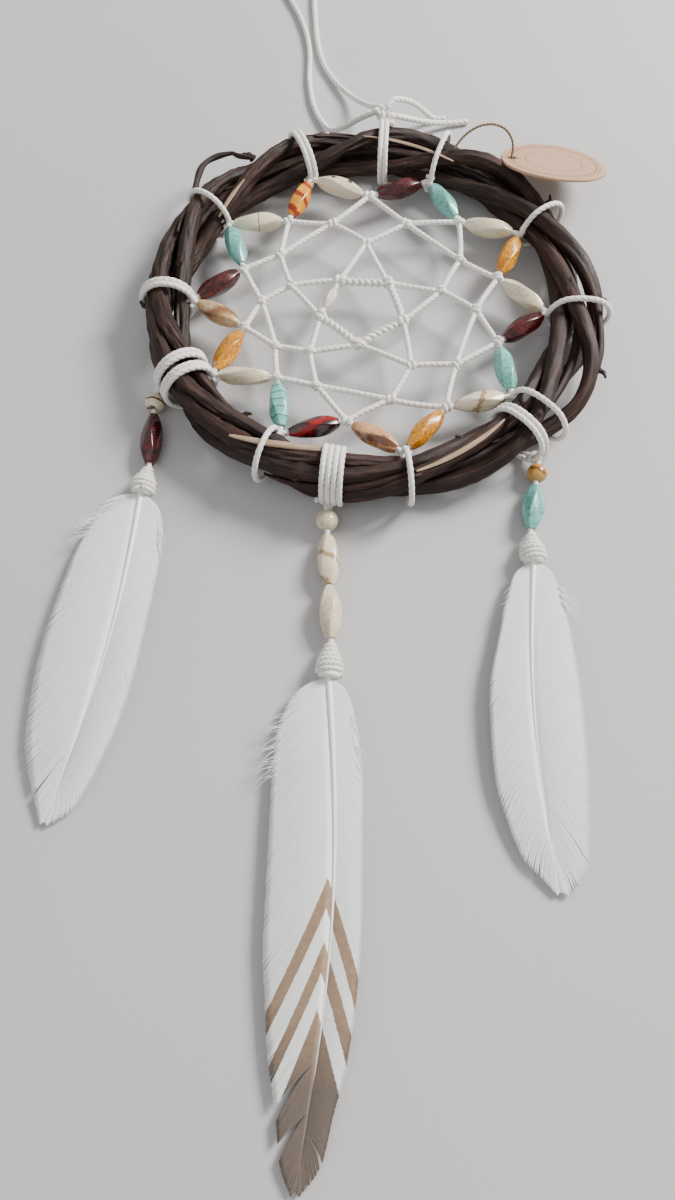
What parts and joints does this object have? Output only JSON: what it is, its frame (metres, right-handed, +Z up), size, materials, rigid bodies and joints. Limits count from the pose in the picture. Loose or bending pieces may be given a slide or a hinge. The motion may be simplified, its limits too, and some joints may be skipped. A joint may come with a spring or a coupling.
{
  "type": "dream catcher",
  "caption": "Twig hoop with a beaded cord web, beaded strands with bound feathers, a hanging loop and a round paper tag, lying flat.",
  "frame": {"origin": "under the middle of the object outline (without the free cords), on the surface that it lies on", "axes": "+X to the tag side, +Y from the feathers to the hanging loop, +Z up out of the hoop"},
  "size_m": [0.1856, 0.4595, 0.0234],
  "materials": {
    "twig_bark": "dark dry bark",
    "cotton_cord": "soft twisted cotton",
    "hemp_twine": "hairy twine",
    "kraft_paper": "uncoated card",
    "stone_chip": "tumbled",
    "cream_bead": "marbled, semi-gloss",
    "amber_bead": "marbled, glossy",
    "dark_red_bead": "marbled, glossy",
    "turquoise_bead": "marbled, semi-gloss",
    "wood_bead": "polished",
    "feather_quill": "horn",
    "feather_vane": "downy, slightly see-through"
  },
  "bodies": {
    "hoop": {"vine_1": "twig_bark", "vine_2": "twig_bark", "vine_3": "twig_bark", "vine_4": "twig_bark", "vine_core": "twig_bark", "web_lashings": "cotton_cord", "web_round_1": "cotton_cord", "web_round_2": "cotton_cord", "web_round_3": "cotton_cord", "web_eye": "cotton_cord", "hanger_tie": "cotton_cord", "hanger_loop": "cotton_cord", "hanger_tail_1": "cotton_cord", "hanger_tail_2": "cotton_cord", "pendant_ties": "cotton_cord", "tag_twine": "hemp_twine"},
    "left_knot_and_cord": {"left_strand_top": "cotton_cord"},
    "left_round_bead": {"left_round_bead": "cream_bead"},
    "left_bead_strand": {"left_strand_low": "cotton_cord"},
    "left_tube_bead": {"left_tube_bead": "dark_red_bead"},
    "left_feather": {"left_binding": "cotton_cord", "left_quill": "feather_quill", "left_vane": "feather_vane"},
    "centre_knot_and_cord": {"centre_strand_top": "cotton_cord"},
    "centre_round_bead": {"centre_round_bead": "cream_bead"},
    "centre_bead_strand": {"centre_strand_low": "cotton_cord"},
    "centre_tube_bead": {"centre_tube_bead": "cream_bead"},
    "centre_tube_bead_2": {"centre_tube_bead_2": "cream_bead"},
    "centre_feather": {"centre_binding": "cotton_cord", "centre_quill": "feather_quill", "centre_vane": "feather_vane"},
    "right_knot_and_cord": {"right_strand_top": "cotton_cord"},
    "right_round_bead": {"right_round_bead": "wood_bead"},
    "right_bead_strand": {"right_strand_low": "cotton_cord"},
    "right_tube_bead": {"right_tube_bead": "turquoise_bead"},
    "right_feather": {"right_binding": "cotton_cord", "right_quill": "feather_quill", "right_vane": "feather_vane"},
    "tag": {"tag": "kraft_paper"},
    "web_bead_01": {"web_bead_01": "cream_bead"},
    "web_bead_02": {"web_bead_02": "amber_bead"},
    "web_bead_03": {"web_bead_03": "cream_bead"},
    "web_bead_04": {"web_bead_04": "dark_red_bead"},
    "web_bead_05": {"web_bead_05": "turquoise_bead"},
    "web_bead_06": {"web_bead_06": "cream_bead"},
    "web_bead_07": {"web_bead_07": "amber_bead"},
    "web_bead_08": {"web_bead_08": "cream_bead"},
    "web_bead_09": {"web_bead_09": "dark_red_bead"},
    "web_bead_10": {"web_bead_10": "turquoise_bead"},
    "web_bead_11": {"web_bead_11": "cream_bead"},
    "web_bead_12": {"web_bead_12": "amber_bead"},
    "web_bead_13": {"web_bead_13": "cream_bead"},
    "web_bead_14": {"web_bead_14": "dark_red_bead"},
    "web_bead_15": {"web_bead_15": "turquoise_bead"},
    "web_bead_16": {"web_bead_16": "cream_bead"},
    "web_bead_17": {"web_bead_17": "amber_bead"},
    "web_bead_18": {"web_bead_18": "cream_bead"},
    "web_bead_19": {"web_bead_19": "dark_red_bead"},
    "web_bead_20": {"web_bead_20": "turquoise_bead"},
    "centre_chip": {"centre_chip": "stone_chip"}
  },
  "joints": [
    {"name": "left_swing", "type": "hinge", "parent": "hoop", "child": "left_knot_and_cord", "pos_m": [-0.06418, 0.05545, 0.0036], "axis": [0, 0, 1], "range_deg": [-40, 12]},
    {"name": "left_bead_lift", "type": "hinge", "parent": "left_knot_and_cord", "child": "left_bead_strand", "pos_m": [-0.06418, 0.04725, 0.0036], "axis": [-1, 0, 0], "range_deg": [0, 45]},
    {"name": "left_feather_lift", "type": "hinge", "parent": "left_bead_strand", "child": "left_feather", "pos_m": [-0.06418, 0.02736, 0.0036], "axis": [-0.9833, 0.1822, 0], "range_deg": [0, 45]},
    {"name": "centre_swing", "type": "hinge", "parent": "hoop", "child": "centre_knot_and_cord", "pos_m": [-0.00738, 0.01228, 0.0036], "axis": [0, 0, 1], "range_deg": [-15, 15]},
    {"name": "centre_bead_lift", "type": "hinge", "parent": "centre_knot_and_cord", "child": "centre_bead_strand", "pos_m": [-0.00707, 0.00358, 0.0036], "axis": [-0.9994, -0.0349, 0], "range_deg": [0, 45]},
    {"name": "centre_feather_lift", "type": "hinge", "parent": "centre_bead_strand", "child": "centre_feather", "pos_m": [-0.00584, -0.0318, 0.0036], "axis": [-0.9982, 0.0593, 0], "range_deg": [0, 45]},
    {"name": "right_swing", "type": "hinge", "parent": "hoop", "child": "right_knot_and_cord", "pos_m": [0.06032, 0.02878, 0.0036], "axis": [0, 0, 1], "range_deg": [-12, 40]},
    {"name": "right_bead_lift", "type": "hinge", "parent": "right_knot_and_cord", "child": "right_bead_strand", "pos_m": [0.05892, 0.02081, 0.0036], "axis": [-0.9848, 0.1736, 0], "range_deg": [0, 45]},
    {"name": "right_feather_lift", "type": "hinge", "parent": "right_bead_strand", "child": "right_feather", "pos_m": [0.05598, 0.00416, 0.0036], "axis": [-1, 0, 0], "range_deg": [0, 45]},
    {"name": "tag_swing", "type": "hinge", "parent": "hoop", "child": "tag", "pos_m": [0.05841, 0.14855, 0.01357], "axis": [0.0734, 0.4162, 0.9063], "range_deg": [-10, 25]},
    {"name": "z_left_round_bead_spin", "type": "hinge", "parent": "left_knot_and_cord", "child": "left_round_bead", "pos_m": [-0.06418, 0.05126, 0.0036], "axis": [0, -1, 0], "continuous": true},
    {"name": "z_left_tube_bead_spin", "type": "hinge", "parent": "left_bead_strand", "child": "left_tube_bead", "pos_m": [-0.06418, 0.0373, 0.0036], "axis": [0, -1, 0], "continuous": true},
    {"name": "z_centre_round_bead_spin", "type": "hinge", "parent": "centre_knot_and_cord", "child": "centre_round_bead", "pos_m": [-0.00722, 0.00783, 0.0036], "axis": [0.0349, -0.9994, 0], "continuous": true},
    {"name": "z_centre_tube_bead_spin", "type": "hinge", "parent": "centre_bead_strand", "child": "centre_tube_bead", "pos_m": [-0.00676, -0.00556, 0.0036], "axis": [0.0349, -0.9994, 0], "continuous": true},
    {"name": "z_centre_tube_bead_2_spin", "type": "hinge", "parent": "centre_bead_strand", "child": "centre_tube_bead_2", "pos_m": [-0.00616, -0.02265, 0.0036], "axis": [0.0349, -0.9994, 0], "continuous": true},
    {"name": "z_right_round_bead_spin", "type": "hinge", "parent": "right_knot_and_cord", "child": "right_round_bead", "pos_m": [0.0596, 0.0247, 0.0036], "axis": [-0.1736, -0.9848, 0], "continuous": true},
    {"name": "z_right_tube_bead_spin", "type": "hinge", "parent": "right_bead_strand", "child": "right_tube_bead", "pos_m": [0.05745, 0.01248, 0.0036], "axis": [-0.1736, -0.9848, 0], "continuous": true},
    {"name": "z_web_bead_01_spin", "type": "hinge", "parent": "hoop", "child": "web_bead_01", "pos_m": [-0.03184, 0.12279, 0.0094], "axis": [0.9988, 0.0498, 0], "continuous": true},
    {"name": "z_web_bead_02_spin", "type": "hinge", "parent": "hoop", "child": "web_bead_02", "pos_m": [-0.01737, 0.13333, 0.0094], "axis": [0.3538, 0.9353, 0], "continuous": true},
    {"name": "z_web_bead_03_spin", "type": "hinge", "parent": "hoop", "child": "web_bead_03", "pos_m": [-0.00308, 0.13923, 0.0094], "axis": [0.9312, -0.3645, 0], "continuous": true},
    {"name": "z_web_bead_04_spin", "type": "hinge", "parent": "hoop", "child": "web_bead_04", "pos_m": [0.01821, 0.13848, 0.0094], "axis": [0.9544, 0.2984, 0], "continuous": true},
    {"name": "z_web_bead_05_spin", "type": "hinge", "parent": "hoop", "child": "web_bead_05", "pos_m": [0.03403, 0.13241, 0.0094], "axis": [0.4715, -0.8819, 0], "continuous": true},
    {"name": "z_web_bead_06_spin", "type": "hinge", "parent": "hoop", "child": "web_bead_06", "pos_m": [0.04942, 0.12026, 0.0094], "axis": [0.9674, -0.2534, 0], "continuous": true},
    {"name": "z_web_bead_07_spin", "type": "hinge", "parent": "hoop", "child": "web_bead_07", "pos_m": [0.05547, 0.10776, 0.0094], "axis": [-0.4023, -0.9155, 0], "continuous": true},
    {"name": "z_web_bead_08_spin", "type": "hinge", "parent": "hoop", "child": "web_bead_08", "pos_m": [0.05899, 0.09066, 0.0094], "axis": [0.7309, -0.6825, 0], "continuous": true},
    {"name": "z_web_bead_09_spin", "type": "hinge", "parent": "hoop", "child": "web_bead_09", "pos_m": [0.05806, 0.0772, 0.0094], "axis": [-0.8178, -0.5755, 0], "continuous": true},
    {"name": "z_web_bead_10_spin", "type": "hinge", "parent": "hoop", "child": "web_bead_10", "pos_m": [0.051, 0.06048, 0.0094], "axis": [0.1582, -0.9874, 0], "continuous": true},
    {"name": "z_web_bead_11_spin", "type": "hinge", "parent": "hoop", "child": "web_bead_11", "pos_m": [0.04189, 0.04778, 0.0094], "axis": [-0.9811, -0.1936, 0], "continuous": true},
    {"name": "z_web_bead_12_spin", "type": "hinge", "parent": "hoop", "child": "web_bead_12", "pos_m": [0.024, 0.03723, 0.0094], "axis": [-0.6441, -0.7649, 0], "continuous": true},
    {"name": "z_web_bead_13_spin", "type": "hinge", "parent": "hoop", "child": "web_bead_13", "pos_m": [0.00794, 0.03463, 0.0094], "axis": [-0.8386, 0.5448, 0], "continuous": true},
    {"name": "z_web_bead_14_spin", "type": "hinge", "parent": "hoop", "child": "web_bead_14", "pos_m": [-0.01146, 0.03805, 0.0094], "axis": [-0.9742, -0.2257, 0], "continuous": true},
    {"name": "z_web_bead_15_spin", "type": "hinge", "parent": "hoop", "child": "web_bead_15", "pos_m": [-0.02274, 0.0463, 0.0094], "axis": [-0.0797, 0.9968, 0], "continuous": true},
    {"name": "z_web_bead_16_spin", "type": "hinge", "parent": "hoop", "child": "web_bead_16", "pos_m": [-0.03427, 0.05763, 0.0094], "axis": [-0.9981, 0.0623, 0], "continuous": true},
    {"name": "z_web_bead_17_spin", "type": "hinge", "parent": "hoop", "child": "web_bead_17", "pos_m": [-0.03993, 0.06775, 0.0094], "axis": [0.4692, 0.8831, 0], "continuous": true},
    {"name": "z_web_bead_18_spin", "type": "hinge", "parent": "hoop", "child": "web_bead_18", "pos_m": [-0.04398, 0.08287, 0.0094], "axis": [-0.8477, 0.5305, 0], "continuous": true},
    {"name": "z_web_bead_19_spin", "type": "hinge", "parent": "hoop", "child": "web_bead_19", "pos_m": [-0.04465, 0.09518, 0.0094], "axis": [0.7851, 0.6193, 0], "continuous": true},
    {"name": "z_web_bead_20_spin", "type": "hinge", "parent": "hoop", "child": "web_bead_20", "pos_m": [-0.03939, 0.11203, 0.0094], "axis": [-0.2937, 0.9559, 0], "continuous": true},
    {"name": "z_centre_chip_spin", "type": "hinge", "parent": "hoop", "child": "centre_chip", "pos_m": [-0.0065, 0.08935, 0.0094], "axis": [0.402, 0.9157, 0], "continuous": true}
  ]
}
